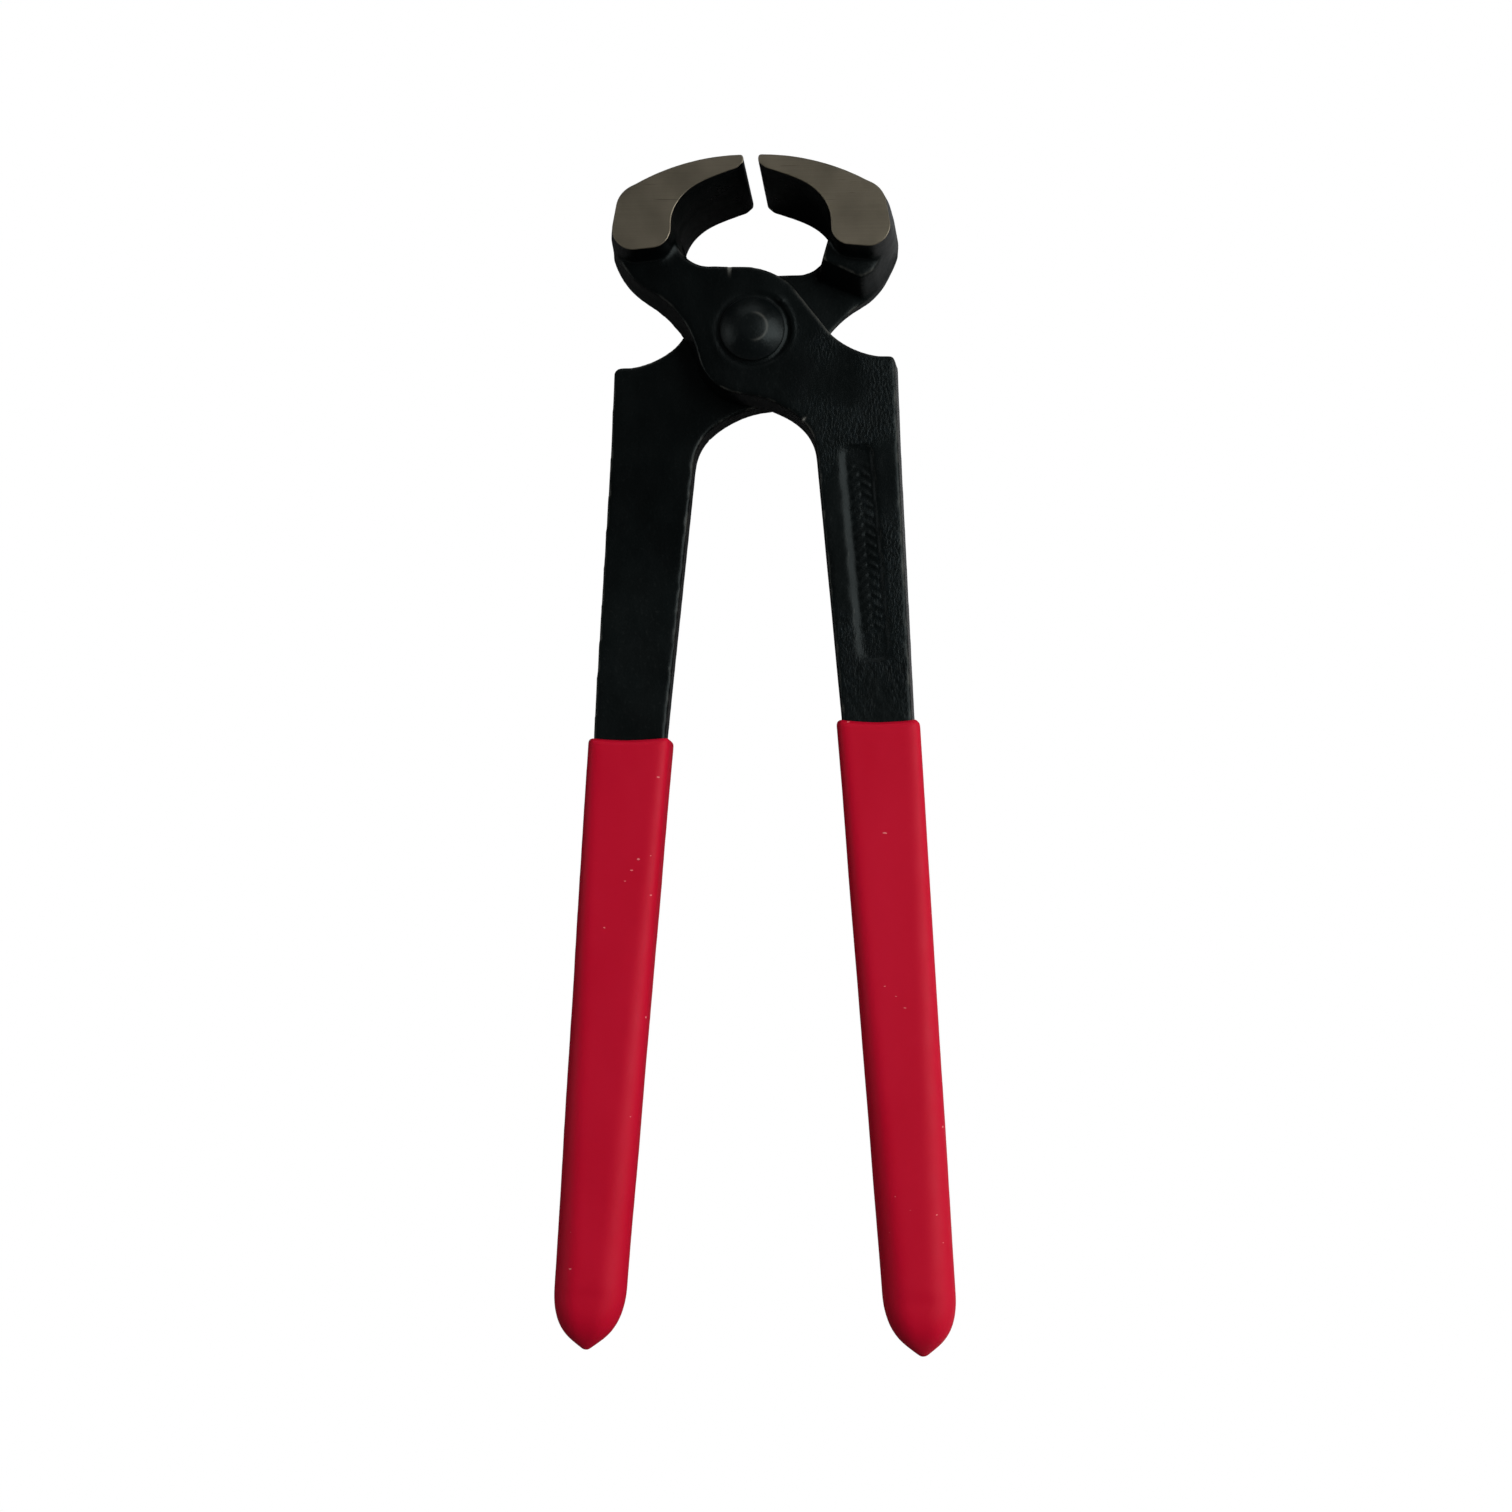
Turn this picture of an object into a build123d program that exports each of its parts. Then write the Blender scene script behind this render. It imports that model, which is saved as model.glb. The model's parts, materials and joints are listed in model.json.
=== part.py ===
from build123d import *

import os

# Carpenter's end-cutting pincers: two identical forged arms on one rivet, with dipped grips.
#
# Frame: +Y points to the jaws, +Z runs along the rivet, and the origin is the bottom centre of
# the tool lying flat. Each arm is drawn on its own seat plane, whose origin is the middle of the
# joint, on the plane where the two arms meet. The rear arm is the front arm turned half a turn
# about Y. Millimetres throughout.

# Overall sizes
TIP_Y = 28.4  # pivot to the cutting edges
GRIP_END_Y = -170.8  # pivot to the drip ends of the grips
JAW_WIDTH = 26.0  # length of the cutting edges, between the two ground faces
JAW_GAP = 2.5  # between the cutting edges at rest
LAND = 1.25  # flat behind each cutting edge

# Joint
PLATE = 7.8  # thickness of each arm where they cross
LAP_GAP = 0.05  # each arm stands this far off the plane where they meet
SHANK_R = 3.5
RUNNING_FIT = 0.05  # radial play of the rear arm on the rivet
HEAD_R = 5.45
HEAD_H = 3.0
HEAD_RIM = 0.55  # the head's upright edge, below its dome
TAIL_R = 5.2
TAIL_H = 2.4

DRAFT = 0.065  # the forging narrows by this much for each millimetre towards its outer face
DRAFT_LOW_Z, DRAFT_HIGH_Z = -2.8, 8.0

# Handles
HANDLE_THICK = 7.6
HANDLE_MID_Z = 1.2  # height of the handle's middle above the meeting plane
JOGGLE_START_Y = -18.0  # where the arm begins to slope back to the middle of the tool
JOGGLE_END_Y = -62.0
STEEL_END_Y = -163.0
STEEL_TAPER = 0.8  # each side of the handle draws in by this much at its hidden end

# Panel pressed into one side of each handle
PANEL_LENGTH = 36.2
PANEL_WIDTH = 5.2
PANEL_DEPTH = 0.5
PANEL_X, PANEL_Y = 18.85, -37.85
PANEL_LEAN = 0.089  # sideways run of the panel for each millimetre along the handle
PANEL_CORNER_R = 2.0

# Grips
FRONT_GRIP_TOP_Y = -65.6
REAR_GRIP_TOP_Y = -68.2
GRIP_THICK = 9.9
GRIP_SLOPE = 0.0686  # sideways run of a grip's middle line for each millimetre towards its end
GRIP_REF_Y = -68.0  # the place along the handle where the next two are measured
GRIP_REF_X, GRIP_REF_W = 21.05, 13.95  # the grip's middle and width
GRIP_TOP_CORNER_R = 1.6
GRIP_ROUND_Y, GRIP_ROUND_W = -160.0, 12.1  # where the rounded end begins, and the width there

PIVOT = (0, -(TIP_Y + GRIP_END_Y) / 2, JAW_WIDTH / 2)
FRONT = Plane(origin=PIVOT)
REAR = Plane(origin=PIVOT, x_dir=(-1, 0, 0), z_dir=(0, 0, -1))


def on_side(seat):
    """The seat's side view: its Y across and its Z up."""
    return Plane(origin=seat.origin, x_dir=seat.y_dir, z_dir=seat.x_dir)


def jaw_section(plane, flank, foot, throat):
    """One jaw in plan, grown outwards at its flank, at its foot and into the throat."""
    land_top = (-JAW_GAP / 2, TIP_Y)
    land_low = (-JAW_GAP / 2, TIP_Y - LAND)
    bevel = (-2.4, 26.15)
    crown_end = (-19.6 - 0.6 * flank, 23.4 + 0.7 * flank)
    flank_top = (-22.3 - flank, 20.6)
    flank_low = (-23.1 - flank, 16.2)
    foot_out = (-19.9, 12.65 - foot)
    foot_in = (-15.8, 13.05 - foot)
    heel = (-13.45 + throat, 16.4)
    with BuildSketch(plane) as section:
        with BuildLine():
            ThreePointArc(land_top, (-10.6, 27.15 + 0.3 * flank), crown_end)
            ThreePointArc(crown_end, (-21.55 - 0.8 * flank, 22.0 + 0.5 * flank), flank_top)
            Line(flank_top, flank_low)
            ThreePointArc(flank_low, (-22.2 - 0.7 * flank, 13.8 - 0.6 * foot), foot_out)
            Line(foot_out, foot_in)
            ThreePointArc(foot_in, (-14.0 + 0.5 * throat, 14.3 - 0.5 * foot), heel)
            Spline(
                heel, (-12.9 + throat, 19.5), (-10.7, 22.4 - throat), (-6.1, 24.9 - throat), bevel
            )
            Line(bevel, land_low)
            Line(land_low, land_top)
        make_face()
    return section.sketch


def neck_section(plane, step, flank, throat):
    """The neck below one jaw in plan, drawn in at its step, at its flank and at the throat."""
    throat_top = (-12.5 - throat, 17.0)
    throat_low = (-10.5 - 1.8 * throat, 10.3 + step)
    step_out = (-18.4, 7.0 + step)
    corner = (-21.1 + 0.6 * flank, 8.6 + 0.7 * step)
    flank_top = (-24.4 + 1.3 * flank, 17.0)
    with BuildSketch(plane) as section:
        with BuildLine():
            Line(throat_top, throat_low)
            Line(throat_low, step_out)
            Line(step_out, corner)
            ThreePointArc(corner, (-23.6 + 1.1 * flank, 12.4 + 0.3 * step), flank_top)
            Line(flank_top, throat_top)
        make_face()
    return section.sketch


def plate_section(plane, grow):
    """Lap and handle in plan, grown outwards all round; the flank below the jaw grows fastest."""
    g, in_side = grow, 0.6 * grow
    with BuildSketch(plane) as section:
        with BuildLine():
            arch = Spline(
                (10.5 - in_side, -21.0),
                (8.05 - 0.3 * g, -15.75 - 0.5 * g),
                (4.0 - 0.4 * g, -13.1 - 0.8 * g),
                tangents=((-0.096, 1), (-0.912 - 0.05 * g, 0.41 - 0.1 * g)),
            )
            under_boss = TangentArc(arch @ 1, (-1.8, -11.45 - g), tangent=arch % 1)
            boss = TangentArc(under_boss @ 1, (-9.9 - 1.5 * g, -4.75 - 0.7 * g), tangent=under_boss % 1)
            waist = TangentArc(boss @ 1, (-18.4 - 1.3 * g, 6.2 - 1.9 * g), tangent=boss % 1)
            flank = TangentArc(waist @ 1, (-24.5 - 2.4 * g, 14.3), tangent=waist % 1)
            Polyline(flank @ 1, (-24.45 - 2.6 * g, 17.0), (-12.7 + g, 17.0))
            ThreePointArc((-12.7 + g, 17.0), (-10.9 + 0.8 * g, 12.9 + 0.6 * g), (-6.5, 11.5 + g))
            Line((-6.5, 11.5 + g), (-1.6, 11.35 + g))
            ThreePointArc(
                (-1.6, 11.35 + g), (2.8 + 0.4 * g, 10.45 + 0.9 * g), (6.8 + 0.8 * g, 8.0 + 0.6 * g)
            )
            Line((6.8 + 0.8 * g, 8.0 + 0.6 * g), (13.6 + 0.8 * g, -0.7 + 0.6 * g))
            ThreePointArc(
                (13.6 + 0.8 * g, -0.7 + 0.6 * g), (16.8 + 0.4 * g, -2.9 + 0.9 * g), (21.2, -4.3 + g)
            )
            Line((21.2, -4.3 + g), (23.2, -4.3 + g))
            ThreePointArc((23.2, -4.3 + g), (24.1 + 0.7 * g, -4.8 + 0.7 * g), (24.4 + g, -5.8))
            Polyline((24.4 + g, -5.8), (24.9 + g, -20.0), (26.9 + g, -66.0), (31.3 + g, -159.0))
            ThreePointArc((31.3 + g, -159.0), (27.3, STEEL_END_Y - g), (23.2 - in_side, -159.0))
            Polyline((23.2 - in_side, -159.0), (14.8 - in_side, -66.0), (10.5 - in_side, -21.0))
        make_face()
    return section.sketch


def forged_arm(seat, bore):
    """One arm: lap and handle in one plate, a neck over the full thickness, and a jaw."""
    with BuildPart() as arm:
        levels = {DRAFT_LOW_Z: -DRAFT * DRAFT_LOW_Z, DRAFT_HIGH_Z: -DRAFT * DRAFT_HIGH_Z}
        loft([plate_section(seat.offset(z), grow) for z, grow in levels.items()], ruled=True)
        with BuildSketch(on_side(seat)):
            low, high = HANDLE_MID_Z - HANDLE_THICK / 2, HANDLE_MID_Z + HANDLE_THICK / 2
            end_low, end_high = low + STEEL_TAPER, high - STEEL_TAPER
            with BuildLine():
                Polyline(
                    (18.0, LAP_GAP), (JOGGLE_START_Y, LAP_GAP), (JOGGLE_END_Y, low),
                    (STEEL_END_Y - 1, end_low), (STEEL_END_Y - 1, end_high), (JOGGLE_END_Y, high),
                    (JOGGLE_START_Y, PLATE), (18.0, PLATE), close=True,
                )
            make_face()
        extrude(amount=2 * JAW_WIDTH, both=True, mode=Mode.INTERSECT)
        neck_inner = neck_section(seat.offset(LAP_GAP), 0, 0, 0)
        neck_outer = neck_section(seat.offset(-PLATE), 1.6, 1.6, 0.7)
        loft([neck_inner, neck_outer], ruled=True)
        half = JAW_WIDTH / 2
        growth = {-half: 0, -PLATE: 1, 0: 1.6, PLATE: 1, half: 0}
        loft(
            [jaw_section(seat.offset(z), 0.9 * g, 1.0 * g, 0.3 * g) for z, g in growth.items()],
            ruled=True,
        )
        with BuildSketch(seat.offset(-1)):
            Circle(bore)
        extrude(amount=PLATE + 2, mode=Mode.SUBTRACT)
        fall = (HANDLE_MID_Z + HANDLE_THICK / 2 - PLATE) / (JOGGLE_END_Y - JOGGLE_START_Y)
        panel_z = PLATE + fall * (PANEL_Y - JOGGLE_START_Y)
        panel = Plane(
            origin=seat.from_local_coords((PANEL_X, PANEL_Y, panel_z)),
            x_dir=seat.x_dir + seat.y_dir * PANEL_LEAN,
            z_dir=seat.z_dir - seat.y_dir * fall,
        )
        with BuildSketch(panel):
            RectangleRounded(PANEL_WIDTH, PANEL_LENGTH, PANEL_CORNER_R)
        extrude(amount=-PANEL_DEPTH, mode=Mode.SUBTRACT)
    return arm


def grip_section(seat, y, width, thick, corner):
    """A rounded rectangle across a grip, y millimetres from the pivot along the handle."""
    middle_x = GRIP_REF_X - GRIP_SLOPE * (y - GRIP_REF_Y)
    middle = seat.from_local_coords((middle_x, y, HANDLE_MID_Z))
    with BuildSketch(Plane(origin=middle, x_dir=seat.x_dir, z_dir=-seat.y_dir)) as section:
        RectangleRounded(width, thick, corner)
    return section.sketch


def dipped_grip(seat, steel, top_y):
    """A sleeve of soft plastic round one handle, closed by a pointed drip at its end."""
    taper = (GRIP_REF_W - GRIP_ROUND_W) / (GRIP_REF_Y - GRIP_ROUND_Y)
    top_w = GRIP_REF_W + taper * (top_y - GRIP_REF_Y)
    drip = (  # run from the rounded end, width, thickness and corner radius
        (0, GRIP_ROUND_W, GRIP_THICK, 4.4), (-4, 11.3, 9.3, 4.3), (-6.6, 9.3, 7.9, 3.7),
        (-8.6, 6.1, 5.3, 2.5), (-9.8, 3.2, 3.0, 1.45), (-10.8, 1.0, 1.0, 0.45),
    )
    with BuildPart() as grip:
        top = grip_section(seat, top_y, top_w, GRIP_THICK, GRIP_TOP_CORNER_R)
        end = grip_section(seat, GRIP_ROUND_Y, GRIP_ROUND_W, GRIP_THICK, 4.4)
        loft([top, end], ruled=True)
        loft([grip_section(seat, GRIP_ROUND_Y + run, *size) for run, *size in drip])
        add(steel.part, mode=Mode.SUBTRACT)
    return grip


front_arm = forged_arm(FRONT, SHANK_R)
rear_arm = forged_arm(REAR, SHANK_R + RUNNING_FIT)
right_grip = dipped_grip(FRONT, front_arm, FRONT_GRIP_TOP_Y)
left_grip = dipped_grip(REAR, rear_arm, REAR_GRIP_TOP_Y)

tail_face = -PLATE - RUNNING_FIT
with BuildPart() as pivot_rivet:
    with BuildSketch(Plane(origin=PIVOT, x_dir=(1, 0, 0), z_dir=(0, -1, 0))):
        with BuildLine():
            Line((0, tail_face - TAIL_H), (0, PLATE + HEAD_H))
            TangentArc((0, PLATE + HEAD_H), (HEAD_R, PLATE + HEAD_RIM), tangent=(1, 0))
            Polyline(
                (HEAD_R, PLATE + HEAD_RIM), (HEAD_R, PLATE), (SHANK_R, PLATE),
                (SHANK_R, tail_face), (TAIL_R, tail_face),
            )
            TangentArc((0, tail_face - TAIL_H), (TAIL_R, tail_face), tangent=(1, 0))
        make_face()
    revolve(axis=Axis(PIVOT, (0, 0, 1)))

os.makedirs("parts", exist_ok=True)
pieces = {
    "front_arm": front_arm, "rear_arm": rear_arm, "pivot_rivet": pivot_rivet,
    "right_grip": right_grip, "left_grip": left_grip,
}
for name, piece in pieces.items():
    piece.part.label = name
    export_step(piece.part, f"parts/{name}.step")
    print(name, round(piece.part.volume, 1), piece.part.is_valid, len(piece.part.solids()))
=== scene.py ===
"""Carpenter's pincers: forged arms, rivet and dipped grips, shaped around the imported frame."""
import json
import math

import bmesh
import bpy
import numpy as np
from mathutils import Matrix, Vector, noise


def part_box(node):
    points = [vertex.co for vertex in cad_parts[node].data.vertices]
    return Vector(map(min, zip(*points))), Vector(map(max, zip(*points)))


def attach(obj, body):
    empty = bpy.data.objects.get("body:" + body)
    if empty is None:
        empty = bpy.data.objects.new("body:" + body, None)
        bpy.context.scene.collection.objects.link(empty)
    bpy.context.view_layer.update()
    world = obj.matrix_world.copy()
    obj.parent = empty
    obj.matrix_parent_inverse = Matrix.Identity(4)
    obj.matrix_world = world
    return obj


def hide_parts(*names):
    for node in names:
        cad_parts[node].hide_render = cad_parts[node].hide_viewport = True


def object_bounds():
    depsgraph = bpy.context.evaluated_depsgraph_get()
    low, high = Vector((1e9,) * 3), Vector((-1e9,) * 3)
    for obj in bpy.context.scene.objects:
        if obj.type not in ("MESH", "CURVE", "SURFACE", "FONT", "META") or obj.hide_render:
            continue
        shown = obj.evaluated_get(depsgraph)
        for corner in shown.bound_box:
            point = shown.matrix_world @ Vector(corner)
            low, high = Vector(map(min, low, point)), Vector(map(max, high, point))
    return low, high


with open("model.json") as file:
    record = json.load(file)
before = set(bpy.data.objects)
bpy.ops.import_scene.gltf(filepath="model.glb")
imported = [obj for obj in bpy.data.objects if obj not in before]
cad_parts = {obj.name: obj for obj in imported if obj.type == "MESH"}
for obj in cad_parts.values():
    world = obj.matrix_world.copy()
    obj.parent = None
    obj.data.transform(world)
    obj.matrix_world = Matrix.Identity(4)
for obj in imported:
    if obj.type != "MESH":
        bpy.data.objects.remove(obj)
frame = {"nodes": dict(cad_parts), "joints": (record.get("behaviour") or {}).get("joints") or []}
cad_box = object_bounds()

MM = 0.001
PIVOT = np.array(frame["joints"][0]["pos_m"])
TOP_Z = cad_box[1].z  # the ground side faces of the jaws lie at this height and at zero
FRONT_SIDE, REAR_SIDE = 1, -1  # the rear arm is the front arm turned over, about Y

ARM_VOXEL = 0.30 * MM
GRIP_VOXEL = 0.35 * MM
RIVET_VOXEL = 0.16 * MM

# Places and sizes below are in millimetres about the middle of the joint, on the front arm.
HEAD_R = 5.45  # the rivet's head
STRUCK_X, STRUCK_Y, STRUCK_R = 0.25, -0.1, 2.3  # the flat that the riveting tool left on it
THROAT_Y = 19  # the middle of the throat between the jaws
PANEL_X, PANEL_Y = 18.85, -37.85  # the middle of the panel pressed into each handle
PANEL_LEAN = 0.089  # how far it moves towards the other handle for each unit up
PANEL_HALF_W, PANEL_HALF_L = 2.6, 18.1
HANDLE_MID_Z = 1.2  # height of the handle's middle above the plane where the arms meet
GRIP_TOP_X = 21.0  # the grip's middle at its mouth
GRIP_HALF_W = 6.9


# Mesh tools

def points_of(mesh):
    co = np.empty(len(mesh.vertices) * 3)
    mesh.vertices.foreach_get("co", co)
    return co.reshape(-1, 3)


def set_points(mesh, co):
    mesh.vertices.foreach_set("co", co.ravel())
    mesh.update()


def normals_of(mesh):
    normals = np.empty(len(mesh.vertices) * 3)
    mesh.vertex_normals.foreach_get("vector", normals)
    return normals.reshape(-1, 3)


def edges_of(mesh):
    edges = np.empty(len(mesh.edges) * 2, int)
    mesh.edges.foreach_get("vertices", edges)
    return edges.reshape(-1, 2)


def store(mesh, name, values):
    attribute = mesh.attributes.new(name, "FLOAT", "POINT")
    attribute.data.foreach_set("value", values.astype(np.float32))


def step(x, low, high):
    """A smooth rise from 0 at low to 1 at high."""
    t = np.clip((x - low) / (high - low), 0, 1)
    return t * t * (3 - 2 * t)


def bell(x, middle, width):
    """A smooth hump that is 1 at its middle and near 0 two widths away."""
    return np.exp(-(((x - middle) / width) ** 2))


def noise_at(points, scale, seed=0.0):
    """Perlin noise from -1 to 1 at each point; scale is the size of a lump along each axis."""
    shifted = points / np.array(scale) + seed
    return np.array([noise.noise(Vector(p)) for p in shifted])


def copied(node, name):
    """The node's mesh with its vertices joined, as a new object."""
    mesh = frame["nodes"][node].data.copy()
    mesh.materials.clear()
    bm = bmesh.new()
    bm.from_mesh(mesh)
    bmesh.ops.remove_doubles(bm, verts=bm.verts, dist=0.001 * MM)
    bm.to_mesh(mesh)
    bm.free()
    obj = bpy.data.objects.new(name, mesh)
    bpy.context.scene.collection.objects.link(obj)
    return obj


def baked(obj):
    """Turns the object's modifiers into its mesh."""
    graph = bpy.context.evaluated_depsgraph_get()
    mesh = bpy.data.meshes.new_from_object(obj.evaluated_get(graph))
    obj.modifiers.clear()
    obj.data = mesh
    return mesh


def remeshed(obj, voxel):
    """An even mesh of small quads in place of the object's own."""
    modifier = obj.modifiers.new("even", "REMESH")
    modifier.mode = "VOXEL"
    modifier.voxel_size = voxel
    modifier.adaptivity = 0
    return baked(obj)


def relaxed(co, edges, weight, rounds):
    """Moves each point towards the middle of its neighbours, as far as its weight says."""
    a, b = edges.T
    count = np.bincount(edges.ravel(), minlength=len(co))
    for _ in range(rounds):
        total = np.stack(
            [
                np.bincount(a, co[b, axis], len(co)) + np.bincount(b, co[a, axis], len(co))
                for axis in range(3)
            ],
            axis=1,
        )
        co = co + weight[:, None] * (total / count[:, None] - co)
    return co


def soften(mesh, weight, rounds):
    """Rounds the mesh's edges.

    How far each point of an outer edge went, in millimetres, is stored as "edge" and returned.
    """
    before = points_of(mesh)
    after = relaxed(before, edges_of(mesh), weight, rounds)
    set_points(mesh, after)
    moved = np.clip(((before - after) * normals_of(mesh)).sum(1) / MM, 0, 1)
    store(mesh, "edge", moved)
    return moved


def as_seated(co, side):
    """Points in millimetres about the middle of the joint, as the arm on that side sees them."""
    return (co - PIVOT) / MM * np.array((side, 1, side))


def press(mesh, depth):
    """Moves each point in along its normal by a depth in millimetres."""
    set_points(mesh, points_of(mesh) - normals_of(mesh) * (depth * MM)[:, None])


def dress(mesh, *materials):
    """Gives the mesh smooth shading and its materials."""
    mesh.polygons.foreach_set("use_smooth", [True] * len(mesh.polygons))
    mesh.materials.clear()
    for material in materials:
        mesh.materials.append(material)


def seat(obj, node, body):
    """Puts the piece on its body in place of the CAD node."""
    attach(obj, body)
    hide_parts(node)


# Forged arms

def on_panel(p):
    """Each point's place across and along the pressed panel, from its middle."""
    dx, dy = p[:, 0] - PANEL_X, p[:, 1] - PANEL_Y
    return dx + PANEL_LEAN * dy, dy - PANEL_LEAN * dx


def on_outer_face(p, n):
    return step(n[:, 2], 0.55, 0.9) * step(p[:, 2], 4, 6)


def scaly(p, n):
    """Where the outer face is wrinkled by scale: in patches, over the shoulder and the handle."""
    x, y = p[:, 0], p[:, 1]
    patches = step(noise_at(p, (6, 9, 9), 5.9), -0.4, 0.25)
    return on_outer_face(p, n) * step(x, 3, 14) * step(-y, -9, 2) * patches


def painted_shade_mask(p, n):
    """Painted shade: where the steel is painted blackest, standing in for shade inside the jaws,
    at their roots, round the rivet, on the walls between the handles and over the outer face.
    """
    x, y, z = p.T
    # painted shade over the outer face, darkest at the jaw's end and lighter down the handle, and
    # a painted shadow ring round the rivet's head
    plate = 0.95 - 0.8 * step(x, -6, 10) * (0.6 + 0.4 * step(-y, 4, 22))
    ring = 0.9 * bell(np.hypot(x + 0.2, y + 0.3), HEAD_R + 0.45, 0.45)
    painted_shade = on_outer_face(p, n) * np.maximum(plate, ring)
    # painted shade on the inner face below the joint, down to the handles' middle
    inner_face = step(-n[:, 2], 0.55, 0.9)
    painted_shade += inner_face * 0.8 * step(y, -48, -32) * step(-y, -2, 10)

    # painted shade on the walls between the handles and below the joint
    wall = 1 - step(np.abs(n[:, 2]), 0.4, 0.7)
    painted_shade += wall * step(-n[:, 0] - 0.6 * n[:, 1], 0.3, 0.7) * step(-y, -8, 0)

    # painted shade inside the jaws, whose walls face the middle of the throat, and on the walls
    # that face down at their roots
    inwards = (n[:, 0] * -x + n[:, 1] * (THROAT_Y - y)) / np.hypot(x, THROAT_Y - y)
    painted_shade += step(inwards, 0, 0.4) * step(y, 8.5, 11)
    painted_shade += step(-n[:, 1], 0.3, 0.7) * step(np.abs(z), 6.8, 8) * step(y, 4, 7)
    return np.clip(painted_shade, 0, 1)


def nicks(p):
    """How bare two small nicks leave the steel, in the edges above and below the joint."""
    x, y, z = p.T
    above = bell(x, -3.9, 0.18) * bell(y, 11.0, 1.0) * step(z, 6.8, 7.3)
    below = bell(x + y, -6.9, 0.5) * bell(x - y, 24.1, 0.22) * step(z, 5.8, 6.6)
    on_plate = step(-z, -8.3, -8.0)  # not on the jaw above it
    return 0.8 * (above + below) * on_plate


def lap_rim_wear_and_highlight(p, edge):
    """The rim of the lap beside the rivet, painted bright: partly wear, partly a painted highlight
    along its edge.
    """
    x, y, z = p.T
    cos, sin = 0.617, 0.787  # the rim runs down to the right, at 52 degrees
    along, off = cos * x - sin * y, sin * x + cos * y
    ends = step(along, -1.8, 0) * step(-along, -10.0, -8.5)
    return 0.2 * step(edge, 0.03, 0.09) * bell(off, 10.2, 0.7) * ends * step(z, 6.8, 7.4)


def arm_relief(p, n):
    """How far the forging's surface lies below the plain shape, in millimetres."""
    x, y, z = p.T
    outer = on_outer_face(p, n)

    # broad and small lumps, higher on the outer face
    depth = (0.015 + 0.03 * outer) * noise_at(p, (5, 8, 5))
    depth += (0.006 + 0.014 * outer) * noise_at(p, (1.3, 1.7, 1.3), 7.3)

    # curled wrinkles between the panel and the grip
    curl = 1.8 * noise_at(p, (4, 5, 9), 3.1)
    bent = np.stack([x + curl, y - curl, z], axis=1)
    wrinkle = 1 - step(np.abs(noise_at(bent, (1.3, 2.4, 4), 11.7)), 0.0, 0.22)
    depth += 0.09 * outer * step(-y, 54, 58) * wrinkle

    # the ring that the riveting tool pressed round the head, and the lump it raised
    around = np.hypot(x, y)
    turn = np.degrees(np.arctan2(y, x))
    uneven = 0.7 + 0.3 * noise_at(np.stack([turn / 30, around, z], 1), (1, 2, 9), 2.2)
    pressed = 0.35 + 0.65 * step(turn, -75, -35) * step(-turn, -70, -50)
    depth += 0.55 * outer * bell(around, HEAD_R + 0.55, 0.5) * pressed * uneven
    depth -= 0.15 * outer * bell(around, HEAD_R + 1.5, 0.4) * bell(turn, 15, 45)
    depth -= 0.22 * outer * bell(np.hypot(x - 4.8, y - 4.9), 0, 0.6)

    depth += 0.25 * nicks(p)
    lap = step(-n[:, 2], 0.6, 0.9) * step(-np.abs(z), -1, 0)
    return depth * (1 - lap)


def panel_relief(p, n):
    """The raised pattern in the panel: a plain herringbone of short bars."""
    across, along = on_panel(p)
    off_spine = np.abs(across - 0.3)
    pitch, slant, height = 1.7, 0.5, 0.22
    place = (along + slant * off_spine) / pitch
    off_bar = np.abs(place - np.round(place)) * pitch
    inside = step(-off_spine, -1.75, -1.45) * step(-np.abs(along - 0.4), -14.6, -14.2)
    inside *= step(off_spine, 0.1, 0.35)
    bars = step(-off_bar, -0.42, -0.15) * inside
    return height * bars * on_outer_face(p, n)


def keep_crisp(p):
    """Smoothing weights: the cutting edges, the lap's rim and the rivet's bore stay sharpest."""
    x, y, z = p.T
    weight = np.full(len(p), 0.42)
    weight -= 0.37 * step(y, 25.2, 26.6) * step(x, -4.2, -2.6)
    weight -= 0.12 * step(z, 6.5, 7.2) * step(-np.hypot(x - 2, y - 2), -19, -17)
    weight -= 0.25 * step(-np.abs(z), -1, -0.4) * step(-np.hypot(x, y), -5, -4)
    return np.clip(weight, 0.03, 0.5)


def fillets(p):
    """Weights for a second smoothing: the jaw's roots on both sides, and one wall of the panel."""
    x, y, z = p.T
    height = np.abs(z)
    root = bell(x, -14.5, 3.6) * bell(y, 11.6, 2.6) * step(z, 6.6, 7.6)
    root += bell(x, -17.0, 4.5) * bell(y, 12.4, 1.5) * step(-z, 6.6, 7.6)
    root += 0.7 * bell(x, -17.0, 6.0) * bell(y, 8.8, 1.6) * bell(z, -7.8, 1.2)
    root *= step(-height, -11.5, -10)
    across, along = on_panel(p)
    wall = np.maximum(np.abs(across) - PANEL_HALF_W, np.abs(along) - PANEL_HALF_L)
    left = 0.4 * bell(wall, 0, 0.9) * step(-across, 1.4, 2.2) * step(z, 3, 4.5)
    return 0.5 * np.clip(root + left, 0, 1)


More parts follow.
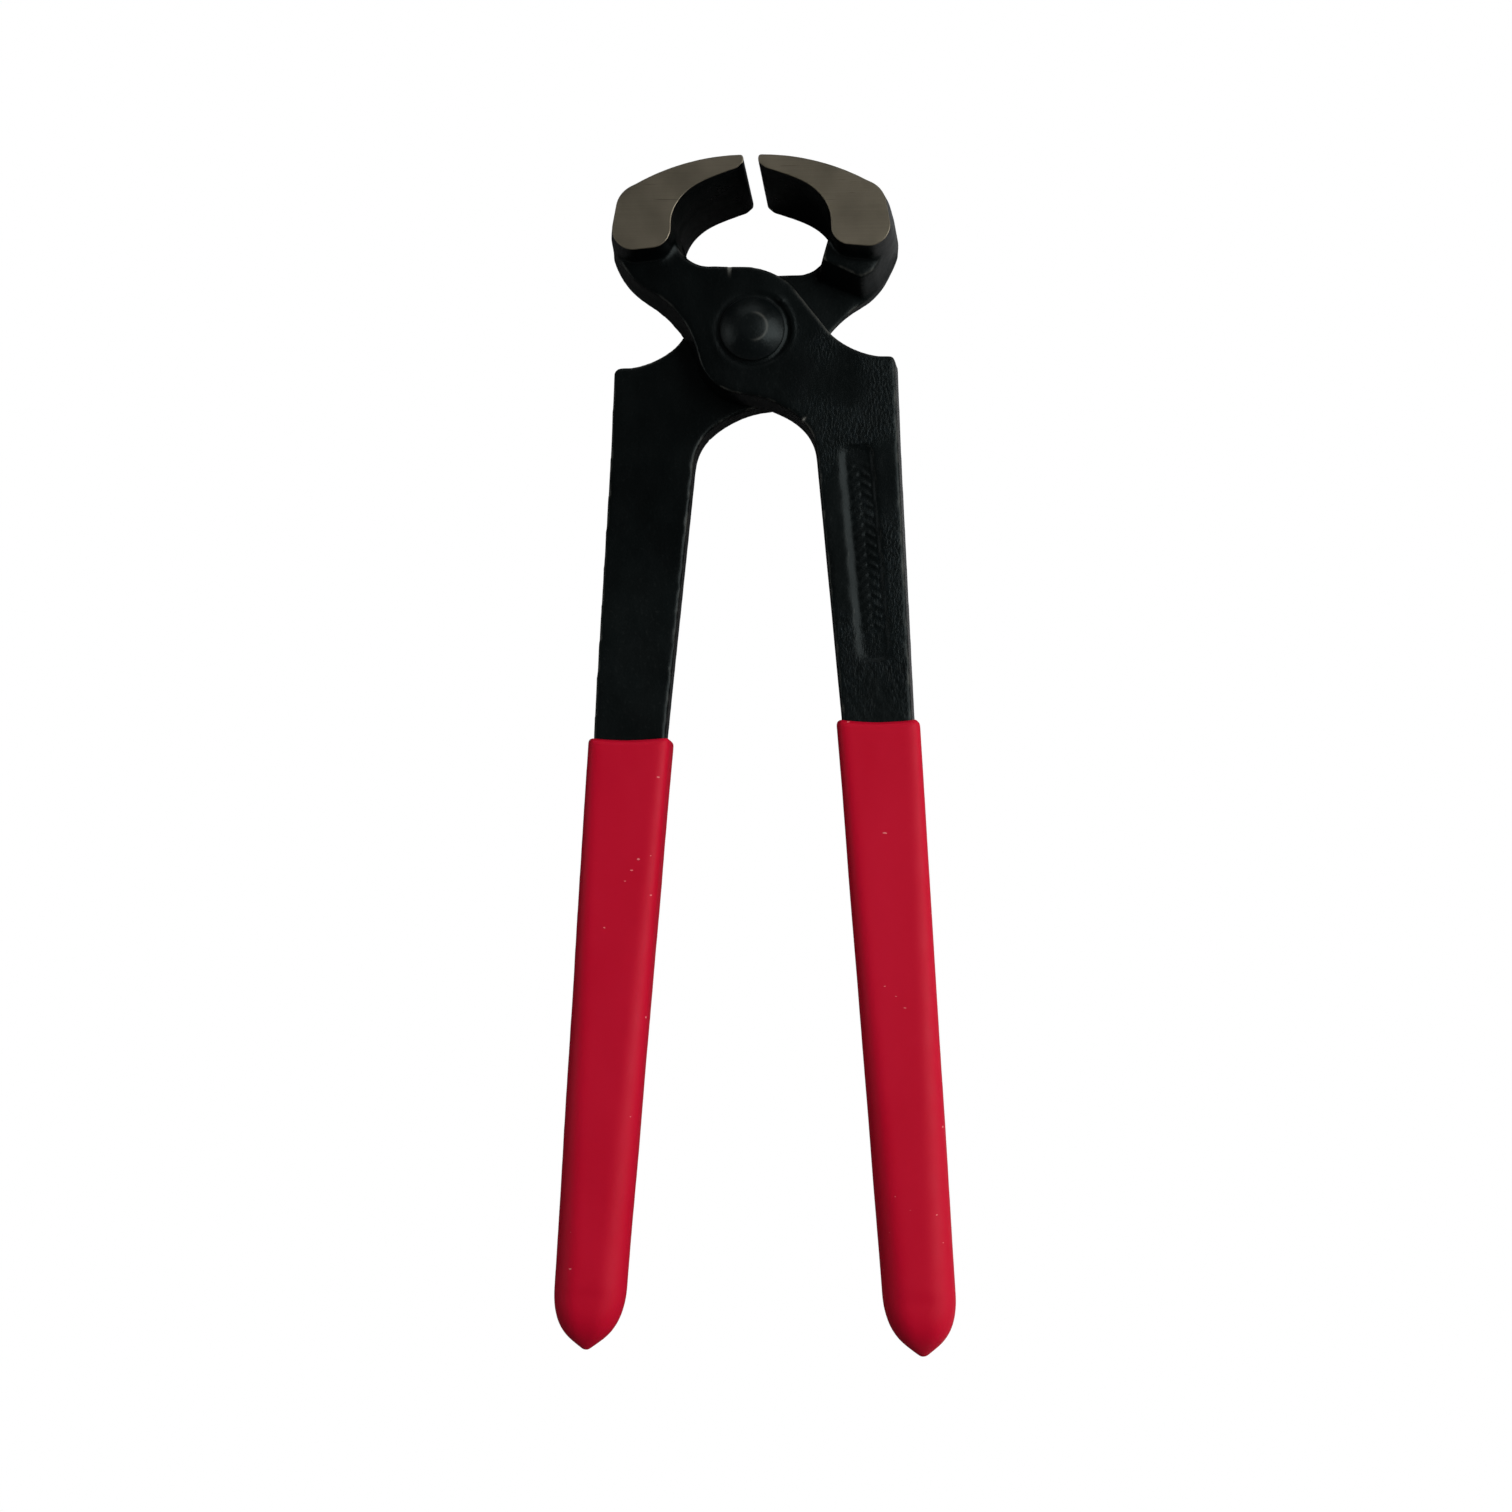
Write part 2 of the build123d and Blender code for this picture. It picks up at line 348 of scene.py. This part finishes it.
def grind(mesh, height, up):
    """Cuts the jaws flat at a height and fills the cut with chamfered, ground steel."""
    chamfer = 0.10 * MM
    bm = bmesh.new()
    bm.from_mesh(mesh)
    cut = bmesh.ops.bisect_plane(
        bm,
        geom=bm.verts[:] + bm.edges[:] + bm.faces[:],
        plane_co=(0, 0, height - up * chamfer),
        plane_no=(0, 0, up),
        clear_outer=True,
    )
    rim = [e for e in cut["geom_cut"] if isinstance(e, bmesh.types.BMEdge)]
    faces = bmesh.ops.contextual_create(bm, geom=rim)["faces"]
    for face in faces:
        face.material_index = 1
    bmesh.ops.recalc_face_normals(bm, faces=faces)
    for edge in rim:
        edge.smooth = False
    inset = bmesh.ops.inset_region(bm, faces=faces, thickness=chamfer, depth=0)
    for face in inset["faces"]:
        face.material_index = 1
    for face in faces:
        for vert in face.verts:
            vert.co.z = height
        for edge in face.edges:
            edge.smooth = False
        face.smooth = False
    bmesh.ops.triangulate(bm, faces=faces, ngon_method="BEAUTY")
    bm.to_mesh(mesh)
    bm.free()


def thin_hidden(obj, side, grip):
    """Thins the mesh out where the grip hides it."""
    overlap = 3
    mouth = (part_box(grip)[1].y - PIVOT[1]) / MM
    shown = as_seated(points_of(obj.data), side)[:, 1] >= mouth - overlap
    group = obj.vertex_groups.new(name="hidden")
    group.add([int(i) for i in np.flatnonzero(~shown)], 1.0, "REPLACE")
    modifier = obj.modifiers.new("thin", "DECIMATE")
    modifier.vertex_group = "hidden"
    modifier.ratio = 0.03 + 0.97 * float(shown.mean())
    baked(obj)
    obj.vertex_groups.clear()


def forged_arm(node, name, side, body, grip):
    """One arm as it comes from the hammer, with its jaw's two sides ground flat."""
    obj = copied(node, name)

    # the jaws start too long at each end, for the grinding
    spare, close = 1.0 * MM, 0.01 * MM
    co = points_of(obj.data)
    co[:, 2] += spare * (co[:, 2] > TOP_Z - close)
    co[:, 2] -= spare * (co[:, 2] < close)
    set_points(obj.data, co)
    mesh = remeshed(obj, ARM_VOXEL)
    edge = soften(mesh, keep_crisp(as_seated(points_of(mesh), side)), 9)
    co = points_of(mesh)
    set_points(mesh, relaxed(co, edges_of(mesh), fillets(as_seated(co, side)), 14))

    p = as_seated(points_of(mesh), side)
    n = normals_of(mesh) * np.array((side, 1, side))
    store(mesh, "scaly", scaly(p, n))
    # painted shade, kept for the material to darken the steel with
    store(mesh, "painted_shade", painted_shade_mask(p, n))
    # nicks as bare steel, and the lap's rim as bare steel with a painted highlight
    store(mesh, "bare_and_highlight", np.maximum(nicks(p), lap_rim_wear_and_highlight(p, edge)))
    press(mesh, arm_relief(p, n) - panel_relief(p, n))
    thin_hidden(obj, side, grip)
    dress(obj.data, forged_steel, ground_steel)
    grind(obj.data, TOP_Z, 1)
    grind(obj.data, 0, -1)
    seat(obj, node, body)


# Rivet

def hammered_rivet(node, name, body):
    """The rivet, with a flatter middle to its head, and a painted highlight on the lit side of
    that flat's rim.
    """
    obj = copied(node, name)
    mesh = remeshed(obj, RIVET_VOXEL)

    # the rim of the head stays sharp
    x, y, z = as_seated(points_of(mesh), FRONT_SIDE).T
    rim = step(np.hypot(x, y), 4.3, 4.8) * step(-z, -9.2, -8.6)
    soften(mesh, 0.45 - 0.38 * rim, 6)

    p = as_seated(points_of(mesh), FRONT_SIDE)
    x, y, z = p.T
    off_middle = np.hypot(x - STRUCK_X, y - STRUCK_Y)
    crown = step(z, 8.5, 9.5)
    depth = 0.02 * noise_at(p, (1.6, 1.6, 1.6))
    depth += 0.15 * crown * np.clip(1 - (off_middle / STRUCK_R) ** 2, 0, 1)
    # a painted highlight along the right-hand half of the flat's rim, where the light falls
    wear_and_highlight = step(x, -0.3, 1.5) * bell(off_middle, STRUCK_R + 0.05, 0.2)
    store(mesh, "bare_and_highlight", 0.12 * crown * wear_and_highlight)
    press(mesh, depth)
    dress(mesh, rivet_steel)
    seat(obj, node, body)


# Grips

def dipped_grip(node, name, side, body):
    """One grip: a soft skin with a rounded mouth, slightly uneven, as a dip leaves it."""
    obj = copied(node, name)
    mesh = remeshed(obj, GRIP_VOXEL)
    soften(mesh, np.full(len(mesh.vertices), 0.5), 10)
    mouth = (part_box(node)[1].y - PIVOT[1]) / MM
    co = points_of(mesh)
    p = as_seated(co, side)
    off_x, off_z = p[:, 0] - GRIP_TOP_X, p[:, 2] - HANDLE_MID_Z

    # the skin turns in at the mouth, whose rim sags between its corners
    lip, sag = 1.0, 0.5
    below = np.clip(mouth - p[:, 1], 0, lip)
    turn_in = 0.75 * MM * (lip - np.sqrt(lip**2 - (lip - below) ** 2))
    co[:, 0] -= side * turn_in * np.sign(off_x) * step(np.abs(off_x), 6.1, 6.8)
    co[:, 2] -= side * turn_in * np.sign(off_z) * step(np.abs(off_z), 3.9, 4.7)
    across = np.clip(off_x / GRIP_HALF_W, -1, 1)
    co[:, 1] -= sag * MM * (1 - across**2) * step(p[:, 1], mouth - 7, mouth)
    set_points(mesh, co)
    waves = noise_at(p, (9, 16, 9), 4.4 + side)
    ripples = noise_at(p, (2.2, 3.5, 2.2), 9.1 + side)
    press(mesh, 0.07 * waves + 0.015 * ripples)
    dress(mesh, grip_plastic)
    seat(obj, node, body)


# Materials

class Nodes:
    """A material's node tree, with its principled shader."""

    def __init__(self, name):
        self.material = bpy.data.materials.new(name)
        self.material.use_nodes = True
        self.tree = self.material.node_tree
        self.shader = self.tree.nodes["Principled BSDF"]
        self.place = self.tree.nodes.new("ShaderNodeTexCoord").outputs["Object"]

    def add(self, kind, **sockets):
        node = self.tree.nodes.new(kind)
        for key, value in sockets.items():
            self.put(node.inputs[key.replace("_", " ")], value)
        return node

    def put(self, socket, value):
        """Links another node's output to the socket, or sets the socket's own value."""
        if isinstance(value, bpy.types.NodeSocket):
            self.tree.links.new(value, socket)
        else:
            socket.default_value = value

    def set(self, **sockets):
        """Links or sets the shader's own sockets."""
        for key, value in sockets.items():
            self.put(self.shader.inputs[key.replace("_", " ")], value)

    def stretched(self, size, turn):
        """Object coordinates scaled so that one unit is the given size in millimetres."""
        node = self.tree.nodes.new("ShaderNodeMapping")
        node.inputs["Scale"].default_value = [1 / (s * MM) for s in size]
        node.inputs["Rotation"].default_value = turn
        self.tree.links.new(self.place, node.inputs["Vector"])
        return node.outputs[0]

    def noise(self, size, detail, turn=(0, 0, 0)):
        """Noise from 0 to 1, with lumps of the given size in millimetres."""
        node = self.add("ShaderNodeTexNoise", Vector=self.stretched(size, turn), Scale=1.0)
        node.inputs["Detail"].default_value = detail
        return node.outputs["Fac"]

    def remap(self, value, low, high, out_low, out_high):
        node = self.tree.nodes.new("ShaderNodeMapRange")
        numbers = (low, high, out_low, out_high)
        self.tree.links.new(value, node.inputs["Value"])
        for key, number in zip(("From Min", "From Max", "To Min", "To Max"), numbers):
            node.inputs[key].default_value = number
        return node.outputs[0]

    def math(self, operation, a, b):
        node = self.tree.nodes.new("ShaderNodeMath")
        node.operation = operation
        self.put(node.inputs[0], a)
        self.put(node.inputs[1], b)
        return node.outputs[0]

    def mix(self, share, a, b):
        node = self.tree.nodes.new("ShaderNodeMix")
        node.data_type = "RGBA"
        self.put(node.inputs["Factor"], share)
        self.put(node.inputs["A"], a)
        self.put(node.inputs["B"], b)
        return node.outputs["Result"]

    def attribute(self, name):
        node = self.tree.nodes.new("ShaderNodeAttribute")
        node.attribute_name = name
        return node.outputs["Fac"]

    def bump(self, height, depth):
        """Sets the shader's normal from a height, one unit of which is a depth in millimetres."""
        node = self.add("ShaderNodeBump", Height=height, Strength=1.0, Distance=depth * MM)
        self.set(Normal=node.outputs[0])


def rgb(r, g, b):
    """A linear colour from display values of 0 to 255."""
    linear = [((c / 255 + 0.055) / 1.055) ** 2.4 if c > 10 else c / 255 / 12.92 for c in (r, g, b)]
    return linear + [1]


def make_forged_steel(name, dark, pale, gloss):
    """Blackened steel: scale in clouds, specks and flakes, painted shade in the hollows, and pale
    edges that are partly worn and partly a painted highlight.
    """
    m = Nodes(name)
    scaly, painted_shade = m.attribute("scaly"), m.attribute("painted_shade")
    cloud = m.remap(m.noise((7, 10, 7), 4), 0.35, 0.65, 0, 1)
    speck = m.remap(m.noise((0.5, 0.7, 0.5), 2), 0.60, 0.74, 0, 0.3)
    flakes = m.remap(m.noise((0.5, 0.9, 0.5), 3), 0.45, 0.65, 0, 0.4)
    wear_and_highlight = m.remap(m.attribute("edge"), 0.045, 0.18, 0, 0.7)
    broken = m.remap(m.noise((2.2, 3.4, 2.2), 4), 0.46, 0.62, 0, 1)
    colour = m.mix(cloud, rgb(*dark), rgb(*pale))
    colour = m.mix(speck, colour, rgb(30, 33, 32))
    colour = m.mix(m.math("MULTIPLY", flakes, scaly), colour, rgb(21, 28, 31))
    # painted shade: near black inside the jaws, at their roots and round the rivet
    colour = m.mix(m.remap(painted_shade, 0, 1, 0, 0.75), colour, rgb(1, 2, 2))
    # pale on the outer edges: partly wear, partly a painted highlight along them
    colour = m.mix(m.math("MULTIPLY", wear_and_highlight, broken), colour, rgb(80, 80, 75))
    # pale where nicks leave bare steel, and a painted highlight on the lap's rim and the rivet's
    # flat
    colour = m.mix(m.attribute("bare_and_highlight"), colour, rgb(150, 150, 142))

    # steel under the painted shade is smoother
    rough = m.remap(m.noise((4, 6, 4), 4), 0.3, 0.7, 0.32, 0.44)
    rough = m.math("MULTIPLY", rough, m.remap(painted_shade, 0, 1, 1, 0.82))
    m.set(Base_Color=colour, Roughness=rough)
    m.set(Specular_IOR_Level=gloss, Specular_Tint=(0.86, 1.0, 1.0, 1))

    fine = m.noise((0.35, 0.5, 0.35), 3)
    coarse = m.math("MULTIPLY", m.noise((1.1, 1.8, 1.1), 3), 1.5)
    folds = m.remap(m.noise((0.36, 0.8, 0.36), 2), 0.40, 0.62, 0, 1.6)
    folds = m.math("MULTIPLY", folds, scaly)
    m.bump(m.math("ADD", m.math("ADD", fine, coarse), folds), 0.022)
    return m.material


def make_ground_steel():
    """Bare steel with fine lines from the grinding belt and a few scratches."""
    m = Nodes("ground_steel")
    cloud = m.remap(m.noise((5, 8, 5), 3), 0.3, 0.7, 0, 1)
    lines = m.noise((14, 0.12, 6), 3, (0, 0, 0.5))
    scratch = m.remap(m.noise((7, 0.2, 7), 1, (0, 0, -0.1)), 0.755, 0.77, 0, 0.7)
    colour = m.mix(cloud, rgb(110, 104, 90), rgb(118, 111, 97))
    colour = m.mix(m.remap(lines, 0.4, 0.75, 0, 0.2), colour, rgb(138, 131, 115))
    colour = m.mix(scratch, colour, rgb(60, 57, 50))
    rough = m.remap(m.noise((5, 7, 5), 4), 0.3, 0.7, 0.38, 0.46)
    m.set(Base_Color=colour, Roughness=rough, Metallic=1.0)
    m.bump(lines, 0.004)
    return m.material


def make_grip_plastic():
    """Soft red plastic, a little cloudy and matt, with a few pale chips."""
    m = Nodes("grip_plastic")
    cloud = m.remap(m.noise((12, 26, 12), 3), 0.3, 0.7, 0, 1)
    chip = m.remap(m.noise((1.1, 0.6, 1.1), 0), 0.865, 0.88, 0, 0.8)
    colour = m.mix(cloud, rgb(179, 2, 36), rgb(184, 8, 41))
    colour = m.mix(chip, colour, rgb(222, 130, 130))
    rough = m.remap(m.noise((3, 5, 3), 4), 0.3, 0.7, 0.50, 0.60)
    m.set(Base_Color=colour, Roughness=rough, Specular_IOR_Level=0.12)
    m.set(
        Subsurface_Weight=0.08,
        Subsurface_Radius=(0.002, 0.0003, 0.0003),
        Subsurface_Scale=0.5,
    )
    m.bump(m.noise((0.6, 0.9, 0.6), 3), 0.010)
    return m.material


forged_steel = make_forged_steel("forged_steel", dark=(4, 6, 6), pale=(7, 11, 11), gloss=0.115)
rivet_steel = make_forged_steel("rivet_steel", dark=(2, 4, 4), pale=(5, 8, 9), gloss=0.16)
ground_steel = make_ground_steel()
grip_plastic = make_grip_plastic()

forged_arm("front_arm", "front_arm_forging", FRONT_SIDE, "front_half", "right_grip")
forged_arm("rear_arm", "rear_arm_forging", REAR_SIDE, "rear_half", "left_grip")
hammered_rivet("pivot_rivet", "set_rivet", "front_half")
dipped_grip("right_grip", "right_grip_skin", FRONT_SIDE, "front_half")
dipped_grip("left_grip", "left_grip_skin", REAR_SIDE, "rear_half")


# Floor, light and camera

def make_card(name, corners, faces, shade, glow):
    """A matt stage piece of one grey, which may glow."""
    mesh = bpy.data.meshes.new(name)
    mesh.from_pydata(corners, [], faces)
    card = bpy.data.objects.new(name, mesh)
    bpy.context.scene.collection.objects.link(card)
    m = Nodes(name)
    m.set(Base_Color=(shade, shade, shade, 1), Roughness=0.9, Specular_IOR_Level=0.0)
    m.set(Emission_Color=(1, 1, 1, 1), Emission_Strength=glow)
    mesh.materials.append(m.material)
    return card


def make_sheet(name, x, y, z, shade, glow):
    """A level sheet over two ranges."""
    corners = [(x[0], y[0], z), (x[1], y[0], z), (x[1], y[1], z), (x[0], y[1], z)]
    return make_card(name, corners, [(0, 1, 2, 3)], shade, glow)


def make_wall(name, radius, low, high, glow):
    """A round wall about the tool."""
    count = 48
    turns = [2 * math.pi * i / count for i in range(count)]
    corners = [(radius * math.cos(t), radius * math.sin(t), z) for z in (low, high) for t in turns]
    faces = [(i, (i + 1) % count, (i + 1) % count + count, i + count) for i in range(count)]
    return make_card(name, corners, faces, 0, glow)


def make_stage():
    """White all round for the eye; for the tool, a dark floor, pale card and low bright band."""
    far = (-6, 6)
    floor = make_sheet("floor", far, far, z=-0.05 * MM, shade=0, glow=1.0)
    backdrop = make_wall("backdrop", radius=5, low=-5, high=12, glow=1.0)
    for piece in (floor, backdrop):
        piece.visible_glossy = False
        piece.visible_diffuse = False
        piece.visible_shadow = False
    dark = make_sheet("floor_reflected", far, far, z=-0.2 * MM, shade=0.12, glow=0)
    right, along = (0.026, 0.5), (-0.3, 0.3)
    card = make_sheet("card_reflected", right, along, z=-0.1 * MM, shade=0.40, glow=0)
    band = make_wall("band_reflected", radius=2, low=0, high=0.35, glow=0.5)
    band.visible_diffuse = False
    for piece in (dark, card, band):
        piece.visible_camera = False


def softbox(name, place, size, power):
    """A rectangular light in metres and watts, aimed at the tool's middle."""
    light = bpy.data.lights.new(name, "AREA")
    light.shape = "RECTANGLE"
    light.size, light.size_y = size
    light.energy = power
    lamp = bpy.data.objects.new(name, light)
    lamp.location = place
    lamp.rotation_euler = (-Vector(place)).to_track_quat("-Z", "Y").to_euler()
    bpy.context.scene.collection.objects.link(lamp)


def make_camera():
    """The camera: 433 mm above the floor, a little right of the tool and below its middle."""
    data = bpy.data.cameras.new("camera")
    data.sensor_width = 36
    data.lens = 59.52
    camera = bpy.data.objects.new("camera", data)
    turns = ((-0.110, "Z"), (-4.513, "X"), (-3.777, "Y"))
    roll, pitch, yaw = (Matrix.Rotation(math.radians(angle), 3, axis) for angle, axis in turns)
    place = Matrix.Translation((0.02796, -0.03336, 0.43307))
    camera.matrix_world = place @ (roll @ pitch @ yaw).transposed().to_4x4()
    bpy.context.scene.collection.objects.link(camera)
    bpy.context.scene.camera = camera


make_stage()
softbox("key", (0.61, 0.10, 0.61), (0.8, 0.8), 8.2)
softbox("low", (0.93, -0.02, 0.23), (0.45, 0.30), 1.5)
softbox("top", (-0.10, 0.95, 0.62), (0.9, 0.6), 2.0)
softbox("left", (-0.90, 0.05, 0.40), (0.6, 0.4), 1.2)
make_camera()

world = bpy.data.worlds.new("studio")
world.use_nodes = True
background = world.node_tree.nodes["Background"]
background.inputs["Color"].default_value = (0.97, 0.98, 1.0, 1)
background.inputs["Strength"].default_value = 0.10
bpy.context.scene.world = world
bpy.context.scene.view_settings.view_transform = "Standard"
